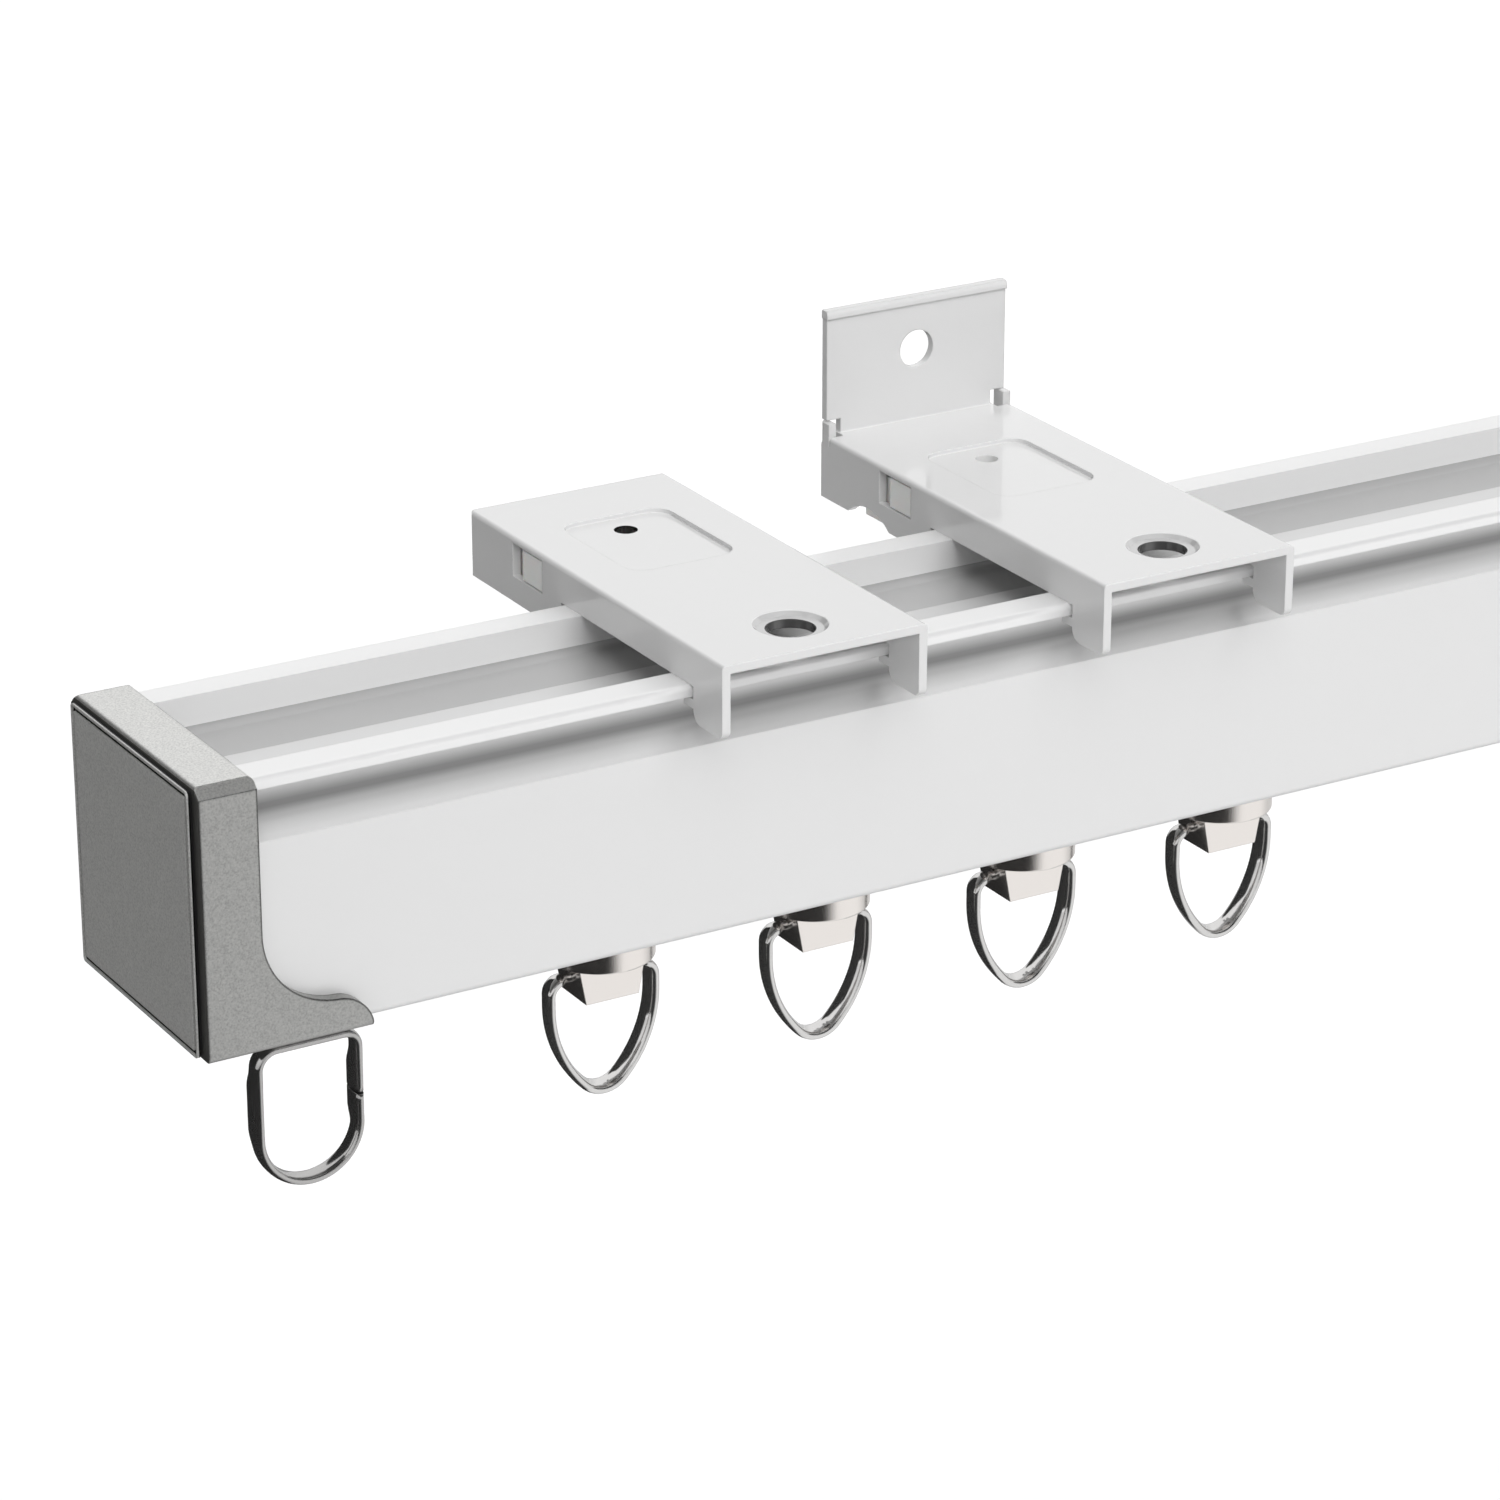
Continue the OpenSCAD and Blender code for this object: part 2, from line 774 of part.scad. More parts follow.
// plate that stands up from the rear bend against the wall
module wall_plate() {
  bend_half = wall_plate_w / 2 - relief_w;
  difference() {
    union() {
      along_x(-bend_half, bend_half)
        plate_2d(wall_rear - 3, plate_under, wall_rear, wall_top - bead_h, [0, bend_r, 0, 0]);
      box([-wall_plate_w / 2, wall_rear - sheet_t, plate_top + relief_h],
        [wall_plate_w / 2, wall_rear, wall_top]);
      along_x(-wall_plate_w / 2 - bead_proud / 2, wall_plate_w / 2 + bead_proud / 2)
        plate_2d(wall_rear - sheet_t - bead_proud, wall_top - bead_h, wall_rear, wall_top,
          [0, 0, bead_proud, bead_h / 2]);
    }
    along_x(-bracket_w, bracket_w)
      plate_2d(wall_rear - 4, plate_top, wall_rear - sheet_t, wall_top - bead_h,
        [0, bend_r / 3, 0, 0]);
    rod_y(wall_rear - sheet_t - over, wall_rear + over, wall_hole_d,
      0, wall_top - wall_hole_inset);
  }
}

// rear end of one bracket side, standing up beside the relief notch
module bracket_ear() {
  along_z(0, ear_top)
    plate_2d(-bracket_w / 2, wall_rear - 2, -bracket_w / 2 + sheet_t, wall_rear,
      [0, 0, 0, sheet_t * 0.8]);
}

module wall_bracket() {
  color("#ececec")
    place()
      translate([wall_bracket_x, 0, 0]) {
        difference() {
          clamp_form(wall_rear);
          clamp_cuts();
          for (side = [-1, 1])
            translate([side * bracket_w / 2, 0, 0])
              box([-relief_w, wall_rear - 2.2, plate_under - 0.1],
                [relief_w, wall_rear + over, plate_top + over]);
          rod_x(-bracket_w, bracket_w, 2 * arch_r, wall_rear - arch_inset,
            -rear_drop - arch_r + arch_depth);
        }
        wall_plate();
        bracket_ear();
        mirror([1, 0, 0])
          bracket_ear();
      }
}

// plan of the slot in the bolt that stays open under the small hole over its whole travel
module pilot_slot_2d() {
  r = pilot_d / 2 + 0.4;
  plate_2d(-r, pilot_y - bolt_travel - r, r, pilot_y + r, [r, r, r, r]);
}

// bolt that slides under the back lip of the track, with a lug in each side window
module lock_bolt(rear) {
  difference() {
    union() {
      box([-bolt_half, bolt_front_y, -rear_drop], [bolt_half, rear - sheet_t - bolt_room, bolt_top]);
      along_x(-bolt_half, bolt_half)
        polygon([
          [half_w - hook_under, nose_top],
          [half_w - hook_under, nose_top - nose_t / 2],
          [half_w - hook_under / 2, nose_top - nose_t],
          [bolt_front_y + 0.1, nose_top - nose_t],
          [bolt_front_y + 0.1, nose_top]
        ]);
      box([-lug_half, window_front + slide_gap, -window_drop + slide_gap],
        [lug_half, window_front + slide_gap + lug_len, bolt_top]);
      for (side = [0, 1])
        mirror([side, 0, 0])
          box([bolt_half + 2 * slide_gap, window_front + slide_gap, -window_drop + slide_gap],
            [lug_half, window_front + slide_gap + lug_len, window_top - slide_gap]);
    }
    box([1 - bolt_half, bolt_front_y + 1, -rear_drop - over],
      [bolt_half - 1, rear - sheet_t - bolt_room - 1, bolt_top - 1.5]);
    along_z(-rear_drop, bolt_top + over)
      pilot_slot_2d();
  }
}

module ceiling_lock_bolt() {
  color("#f2f2f0")
    place()
      translate([ceiling_bracket_x, 0, 0])
        lock_bolt(ceiling_rear);
}

module wall_lock_bolt() {
  color("#f2f2f0")
    place()
      translate([wall_bracket_x, 0, 0])
        lock_bolt(wall_rear);
}

// a piece of one glider, moved to its place along the track
module at_glider(i) {
  place()
    translate([first_glider_x + (i - 1) * glider_pitch, 0, 0])
      children();
}

// nylon body that carries the axle above the slot and the swivel stem in it
module carriage(i) {
  top = carriage_bottom + carriage_h;
  color("#f4f4f1")
    at_glider(i)
      difference() {
        union() {
          along_y(-carriage_w / 2, carriage_w / 2)
            plate_2d(-carriage_len / 2, carriage_bottom, carriage_len / 2, top,
              [0.8, 0.8, 2.5, 2.5]);
          along_z(neck_bottom, carriage_bottom + 0.1)
            plate_2d(-neck_len / 2, -neck_w / 2, neck_len / 2, neck_w / 2,
              [for (k = [1:4]) neck_w / 4]);
        }
        rod_y(-carriage_w, carriage_w, axle_d, 0, wheel_z);
        translate([0, 0, neck_bottom - over])
          cylinder(h = stem_head_z - neck_bottom + over, d = stem_d + 2 * pin_fit);
        translate([0, 0, stem_head_z - slide_gap])
          cylinder(h = stem_head_t + 2 * slide_gap, d = stem_head_d + 2 * side_gap);
      }
}

// steel axle with a rivet head outside each wheel
module axle(i) {
  color("#b5b8bb")
    at_glider(i) {
      rod_y(-axle_half, axle_half, axle_d, 0, wheel_z);
      rod_y(-axle_half, -axle_half + axle_head_t, axle_head_d, 0, wheel_z);
      rod_y(axle_half - axle_head_t, axle_half, axle_head_d, 0, wheel_z);
    }
}

// wheel with a dished outer face
module wheel(i, side) {
  color("#fafaf7")
    at_glider(i)
      translate([0, side * wheel_y, wheel_z])
        rotate([90 * side, 0, 0])
          translate([0, 0, -wheel_w / 2])
            rotate_extrude()
              difference() {
                plate_2d(axle_d / 2 + pin_fit, 0, wheel_d / 2, wheel_w, [0, 0.4, 0.4, 0]);
                translate([axle_head_d / 2 + side_gap, -over])
                  square([wheel_d / 2 - axle_head_d / 2 - side_gap - 1, over + wheel_w / 5]);
              }
}

// nickel plated stem, disc and wedge block
module swivel_head(i) {
  color("#dedcd8")
    at_glider(i)
      difference() {
        union() {
          translate([0, 0, disc_top - 0.1])
            cylinder(h = stem_head_z - disc_top + 0.2, d = stem_d);
          translate([0, 0, stem_head_z])
            cylinder(h = stem_head_t, d = stem_head_d);
          translate([0, 0, disc_bottom])
            rotate_extrude()
              plate_2d(0, 0, disc_d / 2, disc_t, [0, 0.2, 0.5, 0]);
          along_y(-block_d / 2, block_d / 2)
            polygon([
              [-block_top_w / 2, disc_bottom + 0.1],
              [-block_top_w / 2, disc_bottom],
              [-block_bottom_w / 2, disc_bottom - block_h],
              [block_bottom_w / 2, disc_bottom - block_h],
              [block_top_w / 2, disc_bottom],
              [block_top_w / 2, disc_bottom + 0.1]
            ]);
        }
        rod_x(-block_top_w, block_top_w, pivot_d + 2 * pin_fit, 0, pivot_z);
      }
}

// outline of the ring as (x, z) at a distance outside its middle line
module ring_2d(grow) {
  side = ring_side_x + grow;
  corner_x = ring_side_x - ring_corner_r;
  tangent_z = ring_low_z - (ring_bottom_r + grow) * ring_fall / (wide_r - ring_bottom_r);
  plate_2d(-side, ring_flare_z, side, pivot_z + grow,
    [0, 0, ring_corner_r + grow, ring_corner_r + grow]);
  intersection() {
    translate([-wide_x, ring_flare_z])
      circle(wide_r + grow);
    translate([wide_x, ring_flare_z])
      circle(wide_r + grow);
    translate([-side, tangent_z])
      square([2 * side, ring_flare_z - tangent_z + 0.1]);
  }
  translate([0, ring_low_z])
    circle(ring_bottom_r + grow);
}

// shield shaped ring whose two ends turn in the block
module hook_ring(i) {
  color("#b9b9b9")
    at_glider(i) {
      difference() {
        along_y(-band_d / 2, band_d / 2)
          difference() {
            ring_2d(band_t / 2);
            ring_2d(-band_t / 2);
          }
        box([-ring_end_x, -band_d, pivot_z - band_t], [ring_end_x, band_d, pivot_z + band_t]);
      }
      for (side = [0, 1])
        mirror([side, 0, 0])
          rod_x(ring_end_x - side_gap - pin_len, ring_end_x + 0.3, pivot_d, 0, pivot_z);
    }
}

track_extrusion();
left_end_cap();
left_end_seal();
left_end_cover();
left_end_ring();
left_end_yoke();
right_end_cap();
right_end_seal();
right_end_cover();
right_end_ring();
right_end_yoke();
ceiling_bracket();
ceiling_lock_bolt();
wall_bracket();
wall_lock_bolt();
carriage(1);  // glider_1_carriage
axle(1);  // glider_1_axle
wheel(1, -1);  // glider_1_front_wheel
wheel(1, 1);  // glider_1_rear_wheel
swivel_head(1);  // glider_1_swivel_head
hook_ring(1);  // glider_1_ring
carriage(2);  // glider_2_carriage
axle(2);  // glider_2_axle
wheel(2, -1);  // glider_2_front_wheel
wheel(2, 1);  // glider_2_rear_wheel
swivel_head(2);  // glider_2_swivel_head
hook_ring(2);  // glider_2_ring
carriage(3);  // glider_3_carriage
axle(3);  // glider_3_axle
wheel(3, -1);  // glider_3_front_wheel
wheel(3, 1);  // glider_3_rear_wheel
swivel_head(3);  // glider_3_swivel_head
hook_ring(3);  // glider_3_ring
carriage(4);  // glider_4_carriage
axle(4);  // glider_4_axle
wheel(4, -1);  // glider_4_front_wheel
wheel(4, 1);  // glider_4_rear_wheel
swivel_head(4);  // glider_4_swivel_head
hook_ring(4);  // glider_4_ring
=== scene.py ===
# Square curtain track with clamp brackets, end caps and ring gliders, dressed for a studio
# picture. Everything is in metres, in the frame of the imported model.
import math

import bpy
import numpy as np
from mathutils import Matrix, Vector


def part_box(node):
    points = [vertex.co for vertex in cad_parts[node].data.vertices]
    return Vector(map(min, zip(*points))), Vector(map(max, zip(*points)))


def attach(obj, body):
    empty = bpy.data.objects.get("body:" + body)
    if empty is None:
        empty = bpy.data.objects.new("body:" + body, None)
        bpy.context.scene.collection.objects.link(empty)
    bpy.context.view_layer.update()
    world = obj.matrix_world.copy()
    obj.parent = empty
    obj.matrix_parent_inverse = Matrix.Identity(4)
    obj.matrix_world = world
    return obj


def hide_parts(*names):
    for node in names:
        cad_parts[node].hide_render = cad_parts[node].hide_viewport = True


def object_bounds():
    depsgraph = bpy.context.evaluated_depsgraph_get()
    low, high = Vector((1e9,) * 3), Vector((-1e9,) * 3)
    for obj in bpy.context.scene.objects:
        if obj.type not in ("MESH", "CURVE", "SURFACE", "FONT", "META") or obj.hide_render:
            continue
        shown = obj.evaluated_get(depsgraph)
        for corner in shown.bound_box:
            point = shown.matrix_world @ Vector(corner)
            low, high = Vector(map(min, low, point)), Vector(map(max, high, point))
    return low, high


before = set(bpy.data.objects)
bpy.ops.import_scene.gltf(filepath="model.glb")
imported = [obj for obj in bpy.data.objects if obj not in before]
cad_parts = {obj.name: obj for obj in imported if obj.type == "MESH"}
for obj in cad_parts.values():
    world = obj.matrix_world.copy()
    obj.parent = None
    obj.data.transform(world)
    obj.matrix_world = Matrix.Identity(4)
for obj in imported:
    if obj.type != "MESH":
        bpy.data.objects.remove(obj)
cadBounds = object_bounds()
mm = 0.001
print("frame loaded:", len(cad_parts), "nodes")


def linear(hexColour):
    # sRGB hex to linear light, with alpha 1
    s = np.array([int(hexColour[i:i + 2], 16) for i in (1, 3, 5)]) / 255
    low = s / 12.92
    high = ((s + 0.055) / 1.055) ** 2.4
    return (*np.where(s <= 0.04045, low, high).tolist(), 1.0)


def addNode(tree, kind, inputs=None, stops=(), **settings):
    # a node with its settings; an input given a socket is linked, any other value is set;
    # stops are the (position, hex colour) pairs of a colour ramp, in rising order
    node = tree.nodes.new(kind)
    for name, value in settings.items():
        setattr(node, name, value)
    for key, value in (inputs or {}).items():
        if isinstance(value, bpy.types.NodeSocket):
            tree.links.new(value, node.inputs[key])
        else:
            node.inputs[key].default_value = value
    for i, (position, tint) in enumerate(stops):
        elements = node.color_ramp.elements
        stop = elements[i] if i < 2 else elements.new(position)
        stop.position = position
        stop.color = linear(tint)
    return node


def emptyTree(owner):
    # the cleared node tree of a material or a world
    owner.use_nodes = True
    owner.node_tree.nodes.clear()
    return owner.node_tree


def newMaterial(name, surface):
    # a material with one Principled shader; surface gives its constant sockets
    material = bpy.data.materials.new(name)
    tree = emptyTree(material)
    shader = addNode(tree, "ShaderNodeBsdfPrincipled", surface)
    addNode(tree, "ShaderNodeOutputMaterial", {"Surface": shader.outputs["BSDF"]})
    place = addNode(tree, "ShaderNodeTexCoord").outputs["Object"]
    return material, tree, shader, place


def whereAll(tree, *tests):
    # a mask that is 1 where every test (value, operation, limit) holds, and 0 elsewhere
    mask = None
    for value, operation, limit in tests:
        held = addNode(tree, "ShaderNodeMath", {0: value, 1: limit}, operation=operation)
        mask = held if mask is None else addNode(tree, "ShaderNodeMath", {
            0: mask.outputs[0], 1: held.outputs[0]}, operation="MULTIPLY")
    return mask.outputs[0]


def painted(tree, colour, *layers):
    # colour with each (mask, tint) laid over the last; a colour is a hex string or a socket
    for mask, tint in layers:
        under, over = (linear(c) if isinstance(c, str) else c for c in (colour, tint))
        colour = addNode(tree, "ShaderNodeMix", {"Factor": mask, "A": under, "B": over},
                         data_type="RGBA").outputs["Result"]
    return colour


def distances(tree, place, centre):
    # how far a point is from centre along x, y and z, always positive
    away = addNode(tree, "ShaderNodeVectorMath", {0: place, 1: centre}, operation="SUBTRACT")
    size = addNode(tree, "ShaderNodeVectorMath", {0: away.outputs[0]}, operation="ABSOLUTE")
    return addNode(tree, "ShaderNodeSeparateXYZ", {"Vector": size.outputs[0]}).outputs


def lineRelief(tree, place, finish, squeeze):
    # fine lines: noise one lineSize wide, lengthened lineLength times along one axis
    stretched = addNode(tree, "ShaderNodeMapping", {"Vector": place, "Scale": squeeze})
    return addNode(tree, "ShaderNodeTexNoise", {
        "Vector": stretched.outputs["Vector"], "Scale": 1 / finish["lineSize"],
        "Detail": 2.0}).outputs["Fac"]


def texturedSkin(tree, shader, relief, depth, radius, gloss=None, samples=4):
    # edges rounded by radius, a bump as deep as depth and a roughness between the two of gloss,
    # which both follow the relief; gives back the normal of the rounded edges
    edge = addNode(tree, "ShaderNodeBevel", {"Radius": radius}, samples=samples)
    bump = addNode(tree, "ShaderNodeBump", {
        "Height": relief, "Distance": depth, "Normal": edge.outputs["Normal"]})
    tree.links.new(bump.outputs["Normal"], shader.inputs["Normal"])
    if gloss:
        shine = addNode(tree, "ShaderNodeMapRange", {
            "Value": relief, "To Min": gloss[0], "To Max": gloss[1]})
        tree.links.new(shine.outputs["Result"], shader.inputs["Roughness"])
    return edge.outputs["Normal"]


def edgeMask(tree, bevelled, full, flat=0.995):
    # from the dot product of the bevelled normal and the true one: 0 where it is flat or more,
    # as on faces, and 1 where it is full or less, as on edges
    geometry = addNode(tree, "ShaderNodeNewGeometry")
    agree = addNode(tree, "ShaderNodeVectorMath", {
        0: geometry.outputs["Normal"], 1: bevelled}, operation="DOT_PRODUCT")
    return addNode(tree, "ShaderNodeMapRange", {
        "Value": agree.outputs["Value"], "From Min": flat, "From Max": full,
        "To Min": 0.0, "To Max": 1.0}).outputs["Result"]


# Powder coat on steel: baked white enamel with a faint orange peel and a soft sheen.
screwAxes = ((0, 0), (47.4 * mm, 0))   # (x, y) of the upright screws of the two brackets
powderCoat = {
    "colour": "#ebebeb", "shade": "#e7e7e7",
    "gloss": (0.20, 0.28), "coatRoughness": 0.05, "specular": 0.25,
    "peelSize": 1.1 * mm,      # width of one orange peel dimple
    "peelDepth": 0.004 * mm,
    "cloudSize": 60 * mm,      # slow drift of the colour along the metal
    # painted highlight: the rounded edges are whitened
    "edgeRadius": 0.22 * mm, "paintedEdgeReflection": "#ffffff", "edgeFull": 0.8,
    "plateAbove": 0.6 * mm, "plateShade": "#e5e5e5",   # the upright wall plate above the top plate, darker: painted shade
    # round upright axes, up to a height: painted shade in the dishes round the screws, then
    # darker painted shade in the punched screw holes and in the small hole of the ceiling
    # bracket
    "recessShade": (
        {"axes": screwAxes, "radius": 4.3 * mm, "below": 0.44 * mm, "tint": "#cacaca"},
        {"axes": screwAxes, "radius": 2.76 * mm, "below": 0.6 * mm, "tint": "#4c4c4c"},
        {"axes": ((0, 35.4 * mm),), "radius": 1.36 * mm, "below": 0.6 * mm, "tint": "#181818"}),
}


def powderCoatedSteel(name):
    material, tree, shader, place = newMaterial(name, {
        "Specular IOR Level": powderCoat["specular"], "Coat Weight": 1.0,
        "Coat Roughness": powderCoat["coatRoughness"]})
    cloud = addNode(tree, "ShaderNodeTexNoise", {
        "Vector": place, "Scale": 1 / powderCoat["cloudSize"], "Detail": 2.0})
    peel = addNode(tree, "ShaderNodeTexNoise", {
        "Vector": place, "Scale": 1 / powderCoat["peelSize"], "Detail": 1.0})
    bevelled = texturedSkin(tree, shader, peel.outputs["Fac"], powderCoat["peelDepth"],
                            powderCoat["edgeRadius"], powderCoat["gloss"])
    height = addNode(tree, "ShaderNodeSeparateXYZ", {"Vector": place}).outputs["Z"]
    # over a slow drift of the colour: painted highlight on the edges and painted shade on the
    # wall plate
    layers = [(cloud.outputs["Fac"], powderCoat["shade"]),
              (edgeMask(tree, bevelled, powderCoat["edgeFull"]), powderCoat["paintedEdgeReflection"]),
              (whereAll(tree, (height, "GREATER_THAN", powderCoat["plateAbove"])),
               powderCoat["plateShade"])]
    flat = addNode(tree, "ShaderNodeVectorMath", {0: place, 1: (1, 1, 0)}, operation="MULTIPLY")
    # painted shade in the dishes and in the holes
    for spot in powderCoat["recessShade"]:
        for axis in spot["axes"]:
            away = addNode(tree, "ShaderNodeVectorMath", {
                0: flat.outputs[0], 1: (*axis, 0)}, operation="DISTANCE")
            layers.append((whereAll(tree, (away.outputs["Value"], "LESS_THAN", spot["radius"]),
                                    (height, "LESS_THAN", spot["below"])), spot["tint"]))
    colour = painted(tree, powderCoat["colour"], *layers)
    tree.links.new(colour, shader.inputs["Base Color"])
    return material


# Satin anodised aluminium: extruded, so fine die lines run along it. Its colour is painted light
# and shade: painted highlight on the lips and the channel walls, a darker face, and painted
# shade on the channel floor and in the coves, deep inside most of all.
anodised = {
    # lip, wall and face are lit and shaded copies of one colour; the channel floor and its land
    # take painted shade
    "lip": "#f7f7f7", "wall": "#ffffff", "face": "#ebebeb", "channelFloorShade": "#c4c4c4", "land": "#e2e2e2",
    "metallic": 0.3, "gloss": (0.31, 0.39),
    "lineSize": 0.25 * mm,     # spacing of the die lines, coarser than real so that they show
    "lineLength": 60.0,        # how many times longer than wide they are
    "lineDepth": 0.0015 * mm,
    "edgeRadius": 0.16 * mm,
    # bounds as distance from the middle plane of the track and depth below its lips
    "channelHalf": 9.9 * mm, "wallBelow": 0.1 * mm, "channelBelow": 3.35 * mm,
    "landHalf": 1.7 * mm, "landDepth": 4.0 * mm,
    "coveInside": 13.95 * mm, "coveOutside": 11.0 * mm, "coveBelow": 7.0 * mm,
    # painted shade of a cove by depth in mm, darkest under its lip
    "coveShade": ((1.4, "#ffffff"), (2.0, "#ffffff"), (2.4, "#e8e8e8"), (2.9, "#c8c8c8"),
                  (3.4, "#a8a8a8"), (3.8, "#909090"), (4.3, "#888888"), (4.7, "#9c9c9c"),
                  (5.2, "#bebebe"), (5.8, "#d0d0d0"), (6.5, "#dcdcdc"), (7.0, "#ebebeb")),
}


def anodisedAluminium(name):
    material, tree, shader, place = newMaterial(name, {"Metallic": anodised["metallic"]})
    lo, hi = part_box("track_extrusion")
    away = distances(tree, place, (0, (lo.y + hi.y) / 2, hi.z))
    aside, depth = away["Y"], away["Z"]
    inChannel = (aside, "LESS_THAN", anodised["channelHalf"])
    onSide = (aside, "GREATER_THAN", anodised["coveOutside"])
    face = whereAll(tree, onSide, (depth, "GREATER_THAN", anodised["coveBelow"]))
    wall = whereAll(tree, inChannel, (depth, "GREATER_THAN", anodised["wallBelow"]))
    cove = whereAll(tree, onSide, (aside, "LESS_THAN", anodised["coveInside"]),
                    (depth, "GREATER_THAN", anodised["coveShade"][0][0] * mm),
                    (depth, "LESS_THAN", anodised["coveBelow"]))
    channelFloor = whereAll(tree, inChannel, (depth, "GREATER_THAN", anodised["channelBelow"]))
    # the land takes painted shade too, lighter than the rest of the channel floor
    land = whereAll(tree, (aside, "LESS_THAN", anodised["landHalf"]),
                    (depth, "LESS_THAN", anodised["landDepth"]))
    share = addNode(tree, "ShaderNodeMath", {0: depth, 1: anodised["coveBelow"]},
                    operation="DIVIDE")
    shades = addNode(tree, "ShaderNodeValToRGB", {"Fac": share.outputs[0]}, stops=[
        (at * mm / anodised["coveBelow"], tint) for at, tint in anodised["coveShade"]])
    # painted light and shade by place, laid over the lip colour
    colour = painted(tree, anodised["lip"], (face, anodised["face"]), (wall, anodised["wall"]),
                     (cove, shades.outputs["Color"]), (channelFloor, anodised["channelFloorShade"]),
                     (land, anodised["land"]))
    lines = lineRelief(tree, place, anodised, (1 / anodised["lineLength"], 1, 1))
    texturedSkin(tree, shader, lines, anodised["lineDepth"], anodised["edgeRadius"],
                 anodised["gloss"])
    tree.links.new(colour, shader.inputs["Base Color"])
    return material


# Metallic grey ABS: moulded with a fine spark eroded grain under a satin metal lacquer.
capPlastic = {
    # colour by the grain, from its pits to its peaks
    "grainTints": ((0.3, "#c2c2c0"), (0.5, "#d8d8d6"), (0.72, "#e6e6e3")),
    "metallic": 0.92, "coverMetallic": 0.45, "roughness": 0.36,
    "grainSize": 0.2 * mm,     # coarser than the real 0.05 mm grain, so that it shows
    "grainDepth": 0.010 * mm, "grainRoughness": 0.6,
    # painted reflection: the rounded edges are darkened
    "edgeRadius": 0.42 * mm, "paintedEdgeReflection": "#2b2b2a", "edgeFull": 0.93,
    "sideShade": "#cfcfcf",    # painted shade: the side faces are darker than the top by this factor
    # the bevels at the sides of the top face; bevelEdge is how much of the painted edge
    # reflection they take, and bevelClear keeps their mask off the faces beside them
    "bevel": 1.1 * mm, "bevelMetallic": 0.75, "bevelEdge": 0.15, "bevelClear": 0.02 * mm,
    "rimDepth": 0.72 * mm,     # the rim round the cover, in painted shade, ends at this depth from the end
    "rimShade": "#585856", "rimMetallic": 0.45,
    "grooveDepth": 0.2 * mm,   # the engraved line of the cover, in painted shade, is deeper than this
    "grooveShade": "#0c0c0c",
}


def mouldedCapPlastic(name, engraved):
    material, tree, shader, place = newMaterial(name, {
        "Metallic": capPlastic["coverMetallic" if engraved else "metallic"],
        "Roughness": capPlastic["roughness"]})
    grain = addNode(tree, "ShaderNodeTexNoise", {
        "Vector": place, "Scale": 1 / capPlastic["grainSize"], "Detail": 2.0,
        "Roughness": capPlastic["grainRoughness"]}).outputs["Fac"]
    colour = addNode(tree, "ShaderNodeValToRGB", {"Fac": grain},
                     stops=capPlastic["grainTints"]).outputs["Color"]
    bevelled = texturedSkin(tree, shader, grain, capPlastic["grainDepth"],
                            capPlastic["edgeRadius"], samples=6)
    # depth below the nearer end of the track is half its length less the distance to its middle
    trackLo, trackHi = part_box("left_end_cover")[0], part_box("right_end_cover")[1]
    lo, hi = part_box("left_end_cap")
    away = distances(tree, place, ((trackLo.x + trackHi.x) / 2, (lo.y + hi.y) / 2, hi.z))
    halfLength = (trackHi.x - trackLo.x) / 2
    if engraved:
        # painted shade in the engraved line
        groove = whereAll(tree, (away["X"], "LESS_THAN", halfLength - capPlastic["grooveDepth"]))
        colour = painted(tree, colour, (groove, capPlastic["grooveShade"]))
    else:
        nearly = capPlastic["bevel"] - capPlastic["bevelClear"]
        above = (away["Z"], "LESS_THAN", nearly)
        beside = (away["Y"], "GREATER_THAN", (hi.y - lo.y) / 2 - nearly)
        bevel = whereAll(tree, beside, above)
        # painted shade on the sides, the top left as it is
        shade = painted(tree, capPlastic["sideShade"], (whereAll(tree, above), "#ffffff"))
        colour = addNode(tree, "ShaderNodeMix", {"Factor": 1.0, "A": colour, "B": shade},
                         data_type="RGBA", blend_type="MULTIPLY").outputs["Result"]
        # painted reflection on the edges, less of it on the bevels, then painted shade on the
        # rim
        bare = addNode(tree, "ShaderNodeMapRange", {
            "Value": bevel, "To Min": 1.0, "To Max": capPlastic["bevelEdge"]})
        edges = addNode(tree, "ShaderNodeMath", {
            0: edgeMask(tree, bevelled, capPlastic["edgeFull"]), 1: bare.outputs["Result"]},
            operation="MULTIPLY").outputs[0]
        rim = whereAll(tree, (away["X"], "GREATER_THAN", halfLength - capPlastic["rimDepth"]))
        colour = painted(tree, colour, (edges, capPlastic["paintedEdgeReflection"]),
                         (rim, capPlastic["rimShade"]))
        bevelShine = addNode(tree, "ShaderNodeMapRange", {
            "Value": bevel, "To Min": capPlastic["metallic"],
            "To Max": capPlastic["bevelMetallic"]})
        shine = addNode(tree, "ShaderNodeMapRange", {
            "Value": rim, "To Min": bevelShine.outputs["Result"],
            "To Max": capPlastic["rimMetallic"]})
        tree.links.new(shine.outputs["Result"], shader.inputs["Metallic"])
    tree.links.new(colour, shader.inputs["Base Color"])
    return material


# Soft black rubber: matt, with a dusty bloom.
sealRubber = {"colour": "#141414", "bloom": "#232323", "bloomSize": 3 * mm, "roughness": 0.75}


def mattRubber(name):
    material, tree, shader, place = newMaterial(name, {"Roughness": sealRubber["roughness"]})
    bloom = addNode(tree, "ShaderNodeTexNoise", {
        "Vector": place, "Scale": 1 / sealRubber["bloomSize"], "Detail": 4.0})
    colour = painted(tree, sealRubber["colour"], (bloom.outputs["Fac"], sealRubber["bloom"]))
    tree.links.new(colour, shader.inputs["Base Color"])
    return material


